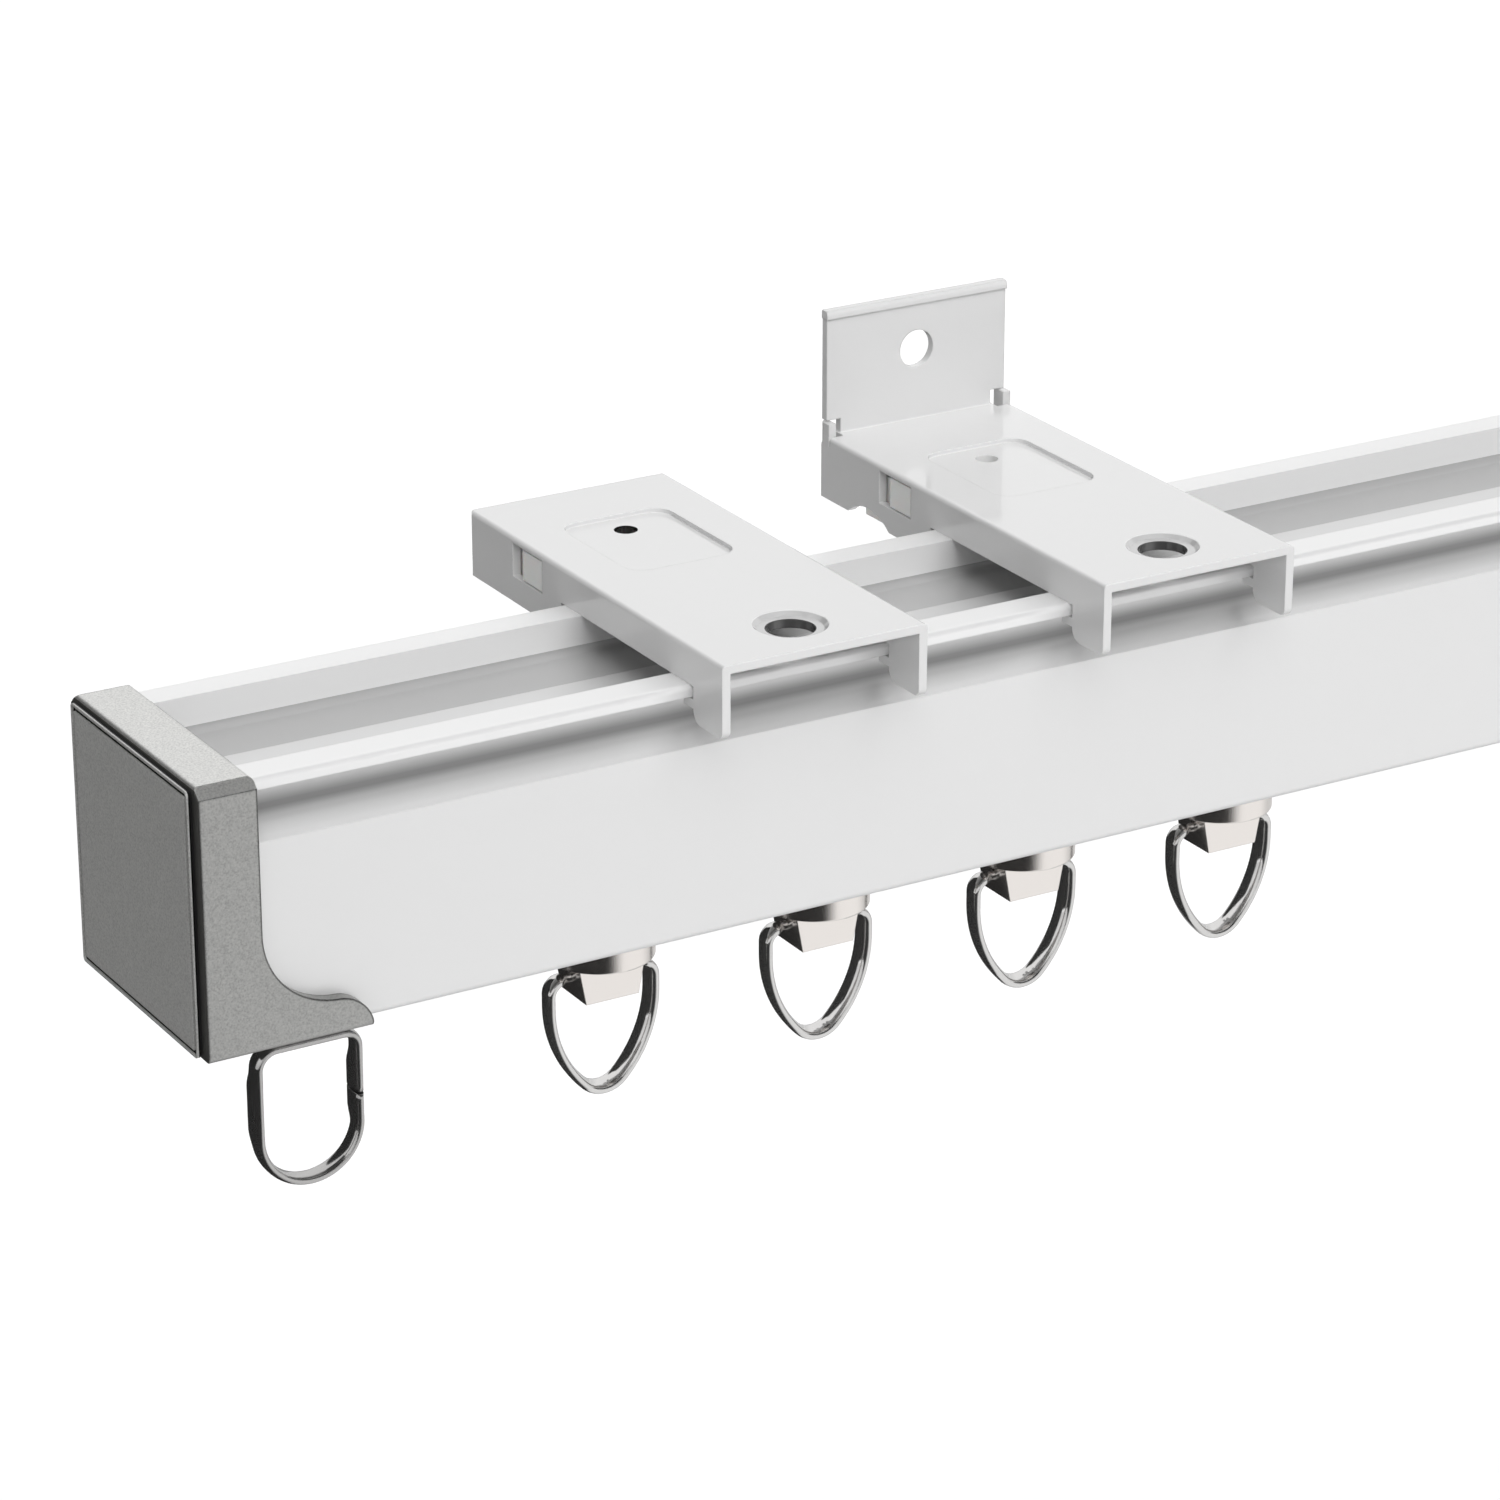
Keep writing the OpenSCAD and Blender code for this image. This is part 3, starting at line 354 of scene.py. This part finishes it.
# Nickel plate: polished wire and band, or a block and disc with fine turning lines. Haze is the
# part of the light that the plate scatters, so that its darks aren't black.
nickel = {
    "band": {"colour": "#d6d5d4", "roughness": 0.08, "haze": 0.05, "lineDepth": 0.0008 * mm},
    # the end rings take a darker copy of the band: painted shade
    "shadedEndBand": {"colour": "#b6b5b4", "roughness": 0.12, "haze": 0.05, "lineDepth": 0.0008 * mm},
    "head": {"colour": "#e9e4e0", "roughness": 0.2, "haze": 0.0, "lineDepth": 0.004 * mm},
    "steel": {"colour": "#b4b6b8", "roughness": 0.3, "haze": 0.0, "lineDepth": 0.003 * mm},
    # cut is the near black flat ends of the swept bands: painted shade in the split of an end
    # ring
    "cut": {"colour": "#161616", "roughness": 0.5, "haze": 0.0, "lineDepth": 0.003 * mm},
    "glossSpread": (0.8, 1.25),   # the roughness varies by these factors
    "lineSize": 0.16 * mm,     # spacing of the polishing lines
    "lineLength": 6.0,         # how many times longer than wide they are
    "edgeRadius": 0.15 * mm,
}


def platedMetal(name, kind):
    finish = nickel[kind]
    material, tree, shader, place = newMaterial(name, {
        "Metallic": 1.0 - finish["haze"], "Base Color": linear(finish["colour"])})
    lines = lineRelief(tree, place, nickel, (1, 1, 1 / nickel["lineLength"]))
    texturedSkin(tree, shader, lines, finish["lineDepth"], nickel["edgeRadius"],
                 [finish["roughness"] * factor for factor in nickel["glossSpread"]])
    return material


# Engineering plastic: moulded acetal or nylon, waxy white with a satin skin.
slidePlastic = {
    "acetal": {"colour": "#fafaf8", "gloss": (0.29, 0.42)},
    "nylon": {"colour": "#ecebe4", "gloss": (0.37, 0.50)},
    "skinSize": 0.5 * mm,
    "skinDepth": 0.006 * mm,
    "edgeRadius": 0.2 * mm,
    "lightThrough": 0.15,      # share of the light that goes into the plastic
    "lightDepth": 0.6 * mm,    # how far it scatters
}


def waxyPlastic(name, kind):
    finish = slidePlastic[kind]
    material, tree, shader, place = newMaterial(name, {
        "Base Color": linear(finish["colour"]),
        "Subsurface Weight": slidePlastic["lightThrough"],
        "Subsurface Scale": slidePlastic["lightDepth"]})
    skin = addNode(tree, "ShaderNodeTexNoise", {
        "Vector": place, "Scale": 1 / slidePlastic["skinSize"], "Detail": 3.0})
    texturedSkin(tree, shader, skin.outputs["Fac"], slidePlastic["skinDepth"],
                 slidePlastic["edgeRadius"], finish["gloss"])
    return material


materials = {
    "track": anodisedAluminium("satin_anodised_aluminium"),
    "bracket": powderCoatedSteel("powder_coated_steel"),
    "cap": mouldedCapPlastic("metallic_grey_abs", False),
    "cover": mouldedCapPlastic("metallic_grey_abs_engraved", True),
    "seal": mattRubber("black_seal_rubber"),
    "band": platedMetal("polished_nickel_plate", "band"),
    "shadedEndBand": platedMetal("shaded_nickel_plate", "shadedEndBand"),
    "head": platedMetal("brushed_nickel_plate", "head"),
    "cut": platedMetal("split_shade_black", "cut"),
    "axle": platedMetal("drawn_steel", "steel"),
    "acetal": waxyPlastic("white_acetal", "acetal"),
    "nylon": waxyPlastic("white_nylon", "nylon"),
}
nodeFinish = {
    "track_extrusion": "track", "_end_cap": "cap", "_end_cover": "cover", "_end_seal": "seal",
    "_end_ring": "shadedEndBand", "_end_yoke": "shadedEndBand", "_bracket": "bracket",
    "_lock_bolt": "acetal", "_carriage": "nylon", "_axle": "axle", "_wheel": "acetal",
    "_swivel_head": "head", "_ring": "band",
}
# the first ending that fits a node's name gives its material
for nodeName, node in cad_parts.items():
    finish = next(value for ending, value in nodeFinish.items() if nodeName.endswith(ending))
    node.data.materials.clear()
    node.data.materials.append(materials[finish])
print("materials:", len(materials))


def smoothstep(x):
    # 3 t^2 - 2 t^3, with t held between 0 and 1
    t = np.clip(x, 0, 1)
    return t * t * (3 - 2 * t)


def arcPoints(centre, radius, start, end, count):
    # points (x, z) of an arc: centre + radius * (cos a, sin a), a from start to end in degrees
    a = np.radians(np.linspace(start, end, count))
    return np.stack([centre[0] + radius * np.cos(a), centre[1] + radius * np.sin(a)], axis=1)


def linePoints(a, b, count):
    # points (x, z) spread evenly from a towards b, without b
    t = np.linspace(0, 1, count, endpoint=False)[:, None]
    return np.array(a) * (1 - t) + np.array(b) * t


def sweptBand(name, path, section, middle, finish, body, replaced):
    # A band along a path (x, z) near the plane y = middle. At each point of the path the
    # section is a superellipse: thick/2 * |cos u|^(2/n) across the path and
    # deep/2 * |sin u|^(2/n) along y, with n = square. Then it is turned by dish, so that its
    # front edge leans out, and moved back by shift. Both ends are closed by a flat fan.
    around = 28   # points round the section
    thick, deep, square, dish, shift = (np.broadcast_to(section[key], len(path))[:, None]
                                        for key in ("thick", "deep", "square", "dish", "shift"))
    step = np.gradient(path, axis=0)
    step /= np.linalg.norm(step, axis=1)[:, None]
    across = np.stack([step[:, 1], -step[:, 0]], axis=1)
    u = np.linspace(0, 2 * np.pi, around, endpoint=False)
    c = np.sign(np.cos(u)) * np.abs(np.cos(u)) ** (2 / square) * thick / 2
    s = np.sign(np.sin(u)) * np.abs(np.sin(u)) ** (2 / square) * deep / 2
    outward = c * np.cos(dish) + s * np.sin(dish)
    back = s * np.cos(dish) - c * np.sin(dish) + shift
    x = path[:, :1] + across[:, :1] * outward
    z = path[:, 1:] + across[:, 1:] * outward
    verts = np.stack([x, back + middle, z], axis=2).reshape(-1, 3)
    ends = verts.reshape(len(path), around, 3)[[0, -1]].mean(axis=1)
    i, j = np.meshgrid(np.arange(len(path) - 1), np.arange(around), indexing="ij")
    nextJ = (j + 1) % around
    quads = np.stack([i * around + j, i * around + nextJ,
                      (i + 1) * around + nextJ, (i + 1) * around + j], axis=2).reshape(-1, 4)
    ring = np.arange(around)
    nextRing = (ring + 1) % around
    last = (len(path) - 1) * around
    firstFan = np.stack([nextRing, ring, np.full(around, len(verts))], axis=1)
    lastFan = np.stack([last + ring, last + nextRing, np.full(around, len(verts) + 1)], axis=1)
    faces = quads.tolist() + firstFan.tolist() + lastFan.tolist()
    mesh = bpy.data.meshes.new(name)
    mesh.from_pydata(np.concatenate([verts, ends]).tolist(), [], faces)
    mesh.update()
    mesh.polygons.foreach_set("use_smooth", np.arange(len(faces)) < len(quads))
    piece = bpy.data.objects.new(name, mesh)
    bpy.context.scene.collection.objects.link(piece)
    mesh.materials.append(materials[finish])
    # the end fans take the cut finish: painted shade in the split of an end ring
    mesh.materials.append(materials["cut"])
    mesh.polygons.foreach_set("material_index", np.arange(len(faces)) >= len(quads))
    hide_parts(replaced)
    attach(piece, body)


# Shield shaped rings of the gliders. Millimetres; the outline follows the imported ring.
hookRing = {
    "thick": 1.1, "deep": 2.5, "pin": 1.2,
    "cornerRadius": 1.7, "straight": 1.4, "bottomRadius": 3.2,
    "pinReach": 2.4,           # from the middle of the ring to the inner end of its pins
    "bandSquare": 2.7,         # 2 is an oval band, larger is flatter with rounded edges
    "dish": 7,                 # lean of the band, front edge outwards, in degrees
    "flattenFrom": 0.5, "flattenOver": 1.2,   # from pin to band, from just before the corner
    "counts": (14, 16, 5, 30, 18),   # points on the pin, corner, side, wide and bottom arcs
}


def hookRingPath(lo, hi):
    # right half from the pin to the lowest point, mirrored: pin, corner arc, straight side,
    # wide arc that is tangent to the bottom arc, bottom arc
    cx = (lo.x + hi.x) / 2
    half = hookRing["thick"] * mm / 2
    side = (hi.x - lo.x) / 2 - half
    corner = hookRing["cornerRadius"] * mm
    bottom = hookRing["bottomRadius"] * mm
    top = hi.z - hookRing["pin"] * mm / 2
    flare = top - corner - hookRing["straight"] * mm
    low = lo.z + half + bottom
    fall = flare - low
    wide = (side ** 2 + fall ** 2 - bottom ** 2) / (2 * (side - bottom))
    turn = math.degrees(math.asin(fall / (wide - bottom)))
    onPin, onCorner, onSide, onWide, onBottom = hookRing["counts"]
    right = np.concatenate([
        linePoints((hookRing["pinReach"] * mm, top), (side - corner, top), onPin),
        arcPoints((side - corner, top - corner), corner, 90, 0, onCorner)[:-1],
        linePoints((side, top - corner), (side, flare), onSide),
        arcPoints((side - wide, flare), wide, 0, -turn, onWide)[:-1],
        arcPoints((0, low), bottom, -turn, -90, onBottom)])
    left = right[::-1][1:] * [-1, 1]
    return np.concatenate([right, left]) + [cx, 0], side - corner


def makeHookRing(i):
    node = f"glider_{i}_ring"
    lo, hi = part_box(node)
    path, cornerX = hookRingPath(lo, hi)
    middle = (lo.y + hi.y) / 2
    fromMiddle = np.abs(path[:, 0] - (lo.x + hi.x) / 2)
    atTop = path[:, 1] > hi.z - hookRing["pin"] * mm
    # round pin inside the block, oval band outside it
    pastPin = fromMiddle - cornerX + hookRing["flattenFrom"] * mm
    flat = np.where(atTop, smoothstep(pastPin / (hookRing["flattenOver"] * mm)), 1.0)
    section = {
        "thick": (hookRing["pin"] * (1 - flat) + hookRing["thick"] * flat) * mm,
        "deep": (hookRing["pin"] * (1 - flat) + hookRing["deep"] * flat) * mm,
        "square": 2 * (1 - flat) + hookRing["bandSquare"] * flat,
        "dish": math.radians(hookRing["dish"]) * flat, "shift": 0.0}
    sweptBand(f"glider_{i}_polished_ring", path, section, middle, "band",
              f"glider_{i}_hook_ring", node)


for gliderNumber in range(1, 5):
    makeHookRing(gliderNumber)
print("glider rings made")

# Oval split rings under the end caps. Millimetres.
endRing = {
    "thick": 1.0, "deep": 2.3, "bandSquare": 2.8,
    "outerCorner": 2.7, "innerCorner": 2.2,
    "splitDown": 0.457,        # height of the split below the top, as a share of the ring
    "splitGap": 0.3,
    "wing": 0.8, "wingFrom": (2.6, 5.0), "wingTo": (10.0, 12.0),   # extra depth of the sides
    # points on the upper side, inner corner, top, outer corner, far side, bottom and lower side
    "counts": (8, 14, 16, 18, 14, 48, 4),
}


def makeEndRing(side):
    # from the upper face of the split round over the top and the left side to its lower face
    node = f"{side}_end_ring"
    lo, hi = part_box(node)
    outward = -1 if side == "left" else 1
    cx = (lo.x + hi.x) / 2
    half = endRing["thick"] * mm / 2
    top = hi.z - half
    width = (hi.x - lo.x) / 2 - half
    inner = endRing["innerCorner"] * mm - half
    outer = endRing["outerCorner"] * mm - half
    low = lo.z + (hi.x - lo.x) / 2
    splitLow = hi.z - endRing["splitDown"] * (hi.z - lo.z)
    splitTop = splitLow + endRing["splitGap"] * mm
    counts = endRing["counts"]
    path = np.concatenate([
        linePoints((width, splitTop), (width, top - inner), counts[0]),
        arcPoints((width - inner, top - inner), inner, 0, 90, counts[1])[:-1],
        linePoints((width - inner, top), (outer - width, top), counts[2]),
        arcPoints((outer - width, top - outer), outer, 90, 180, counts[3])[:-1],
        linePoints((-width, top - outer), (-width, low), counts[4]),
        arcPoints((0, low), width, 180, 360, counts[5])[:-1],
        linePoints((width, low), (width, splitLow), counts[6]),
        [(width, splitLow)]])
    path[:, 0] = cx - outward * path[:, 0]
    if side == "right":
        path = path[::-1]
    # the straight sides are deeper to the rear than the top and the bottom
    down = (hi.z - path[:, 1]) / mm
    (riseFrom, riseTo), (fallFrom, fallTo) = endRing["wingFrom"], endRing["wingTo"]
    wing = (smoothstep((down - riseFrom) / (riseTo - riseFrom))
            * (1 - smoothstep((down - fallFrom) / (fallTo - fallFrom))))
    section = {
        "thick": endRing["thick"] * mm, "deep": (endRing["deep"] + endRing["wing"] * wing) * mm,
        "square": endRing["bandSquare"], "dish": 0.0, "shift": endRing["wing"] * wing * mm / 2}
    sweptBand(f"{side}_polished_end_ring", path, section, (lo.y + hi.y) / 2, "shadedEndBand",
              f"{side}_end_link", node)


for sideName in ("left", "right"):
    makeEndRing(sideName)
print("end rings made")

# Studio: a pale floor well below the hanging track, a white surround that is brighter above for
# reflections, one broad soft key light from the front and above, and dark cards that only
# reflections show: over the front, over the track, at the left rear and on the floor.
studio = {
    "floorDrop": 0.26, "floorSize": 12.0, "floorColour": "#d9d9d9", "floorLift": 0.46,
    # strength of the surround: as light, and in reflections level with the track and above it,
    # where surroundTop is the height, on a sphere of radius 1, at which it is brightest
    "surroundForDiffuse": 0.37, "surroundForGlossy": 1.0, "surroundAbove": 1.35,
    "surroundTop": 0.4,
    "keyStrength": 2.35, "keyAngle": 55, "keyFrom": (0.0, -0.63, 0.78),
    "cardColour": "#2c2c2c",
    "topCard": [(-0.6, -0.9, 0.25), (1.6, -0.9, 0.25), (1.6, -0.25, 0.9), (-0.6, -0.25, 0.9)],
    "overCard": [(-0.6, -0.25, 0.9), (1.6, -0.25, 0.9), (1.6, 0.3, 0.9), (-0.6, 0.3, 0.9)],
    "sideCard": [(-0.1, 1.2, -0.32), (-1.04, 0.6, -0.32), (-1.04, 0.6, 0.5), (-0.1, 1.2, 0.9)],
    "floorCardLift": 2 * mm,
    # what is this far below the track is the floor card, which fades to white by bearing round
    # its apex; the whiteness is the product of three steps, each given as (bearing in degrees,
    # whiteness) at its start and its end
    "floorCardBelow": 0.2, "floorCardApex": (-0.03, 0.0),
    "fades": (((-100, 0), (-64, 1)), ((-24, 1), (10, 0.68)), ((48, 1), (68, 0))),
}


def levelSquare(half, z):
    return [(-half, -half, z), (half, -half, z), (half, half, z), (-half, half, z)]


def flatSheet(name, corners, material):
    mesh = bpy.data.meshes.new(name)
    mesh.from_pydata(corners, [], [(0, 1, 2, 3)])
    mesh.materials.append(material)
    sheet = bpy.data.objects.new(name, mesh)
    bpy.context.scene.collection.objects.link(sheet)
    return sheet


def directRays(tree):
    # 1 for rays that show the background itself: camera, glossy and transmission
    rays = addNode(tree, "ShaderNodeLightPath")
    first = addNode(tree, "ShaderNodeMath", {
        0: rays.outputs["Is Camera Ray"], 1: rays.outputs["Is Glossy Ray"]}, operation="MAXIMUM")
    return addNode(tree, "ShaderNodeMath", {
        0: first.outputs[0], 1: rays.outputs["Is Transmission Ray"]},
        operation="MAXIMUM").outputs[0]


floorMaterial = bpy.data.materials.new("pale_floor_paper")
floorTree = emptyTree(floorMaterial)
paper = addNode(floorTree, "ShaderNodeBsdfDiffuse", {"Color": linear(studio["floorColour"])})
lift = addNode(floorTree, "ShaderNodeMath", {0: directRays(floorTree), 1: studio["floorLift"]},
               operation="MULTIPLY")
glow = addNode(floorTree, "ShaderNodeEmission", {"Strength": lift.outputs[0]})
both = addNode(floorTree, "ShaderNodeAddShader", {0: paper.outputs[0], 1: glow.outputs[0]})
addNode(floorTree, "ShaderNodeOutputMaterial", {"Surface": both.outputs[0]})
floorZ = cadBounds[0].z - studio["floorDrop"]
floorHalf = studio["floorSize"] / 2
flatSheet("floor", levelSquare(floorHalf, floorZ), floorMaterial)

cardMaterial = bpy.data.materials.new("dark_card")
cardTree = emptyTree(cardMaterial)
cardPlace = addNode(cardTree, "ShaderNodeTexCoord").outputs["Object"]
fromApex = addNode(cardTree, "ShaderNodeSeparateXYZ", {
    "Vector": addNode(cardTree, "ShaderNodeVectorMath", {
        0: cardPlace, 1: (*studio["floorCardApex"], 0)}, operation="SUBTRACT").outputs[0]})
bearing = addNode(cardTree, "ShaderNodeMath", {
    0: fromApex.outputs["Y"], 1: fromApex.outputs["X"]}, operation="ARCTAN2").outputs[0]
whiteness = whereAll(cardTree, (fromApex.outputs["Z"], "LESS_THAN",
                                cadBounds[0].z - studio["floorCardBelow"]))
for (startAt, startLevel), (endAt, endLevel) in studio["fades"]:
    step = addNode(cardTree, "ShaderNodeMapRange", {
        "Value": bearing, "From Min": math.radians(startAt), "From Max": math.radians(endAt),
        "To Min": startLevel, "To Max": endLevel}, interpolation_type="SMOOTHSTEP")
    whiteness = addNode(cardTree, "ShaderNodeMath", {
        0: whiteness, 1: step.outputs["Result"]}, operation="MULTIPLY").outputs[0]
board = addNode(cardTree, "ShaderNodeEmission", {
    "Color": painted(cardTree, studio["cardColour"], (whiteness, "#ffffff"))})
addNode(cardTree, "ShaderNodeOutputMaterial", {"Surface": board.outputs[0]})

for cardName, corners in {
        "dark_card_above": studio["topCard"], "dark_card_over": studio["overCard"],
        "dark_card_left": studio["sideCard"],
        "dark_card_on_floor": levelSquare(floorHalf / 2, floorZ + studio["floorCardLift"]),
        }.items():
    card = flatSheet(cardName, corners, cardMaterial)
    for rayKind in ("camera", "diffuse", "transmission", "volume_scatter", "shadow"):
        setattr(card, f"visible_{rayKind}", False)

world = bpy.data.worlds.new("white_surround")
bpy.context.scene.world = world
worldTree = emptyTree(world)
skyHeight = addNode(worldTree, "ShaderNodeSeparateXYZ", {
    "Vector": addNode(worldTree, "ShaderNodeTexCoord").outputs["Generated"]}).outputs["Z"]
skyLevel = addNode(worldTree, "ShaderNodeMapRange", {
    "Value": skyHeight, "From Min": 0.0, "From Max": studio["surroundTop"],
    "To Min": studio["surroundForGlossy"], "To Max": studio["surroundAbove"]})
worldLevel = addNode(worldTree, "ShaderNodeMix", {
    "Factor": directRays(worldTree), "A": studio["surroundForDiffuse"],
    "B": skyLevel.outputs["Result"]}, data_type="FLOAT")
surround = addNode(worldTree, "ShaderNodeBackground", {"Strength": worldLevel.outputs["Result"]})
addNode(worldTree, "ShaderNodeOutputWorld", {"Surface": surround.outputs[0]})

keyData = bpy.data.lights.new("soft_key", "SUN")
keyData.energy = studio["keyStrength"]
keyData.angle = math.radians(studio["keyAngle"])
key = bpy.data.objects.new("soft_key", keyData)
keyX, keyY, keyZ = studio["keyFrom"]
key.rotation_euler = (math.atan2(math.hypot(keyX, keyY), keyZ), 0, math.atan2(keyX, -keyY))
key.visible_glossy = False     # reflections show the surround and the cards alone
bpy.context.scene.collection.objects.link(key)

# Camera solved from the straight edges of the track: 16 degrees across, no roll.
cameraPlace = {
    "place": (-0.26765, -0.44620, 0.19830), "heading": -30.489, "tilt": 22.182,
    "lens": 127.08, "sensor": 36.0, "nearest": 0.01,
}
cameraData = bpy.data.cameras.new("camera")
cameraData.lens = cameraPlace["lens"]
cameraData.sensor_width = cameraPlace["sensor"]
cameraData.clip_start = cameraPlace["nearest"]
camera = bpy.data.objects.new("camera", cameraData)
camera.location = cameraPlace["place"]
camera.rotation_euler = (math.radians(90 - cameraPlace["tilt"]), 0,
                         math.radians(cameraPlace["heading"]))
bpy.context.scene.collection.objects.link(camera)
bpy.context.scene.camera = camera
bpy.context.scene.view_settings.view_transform = "Standard"
print("studio and camera set")
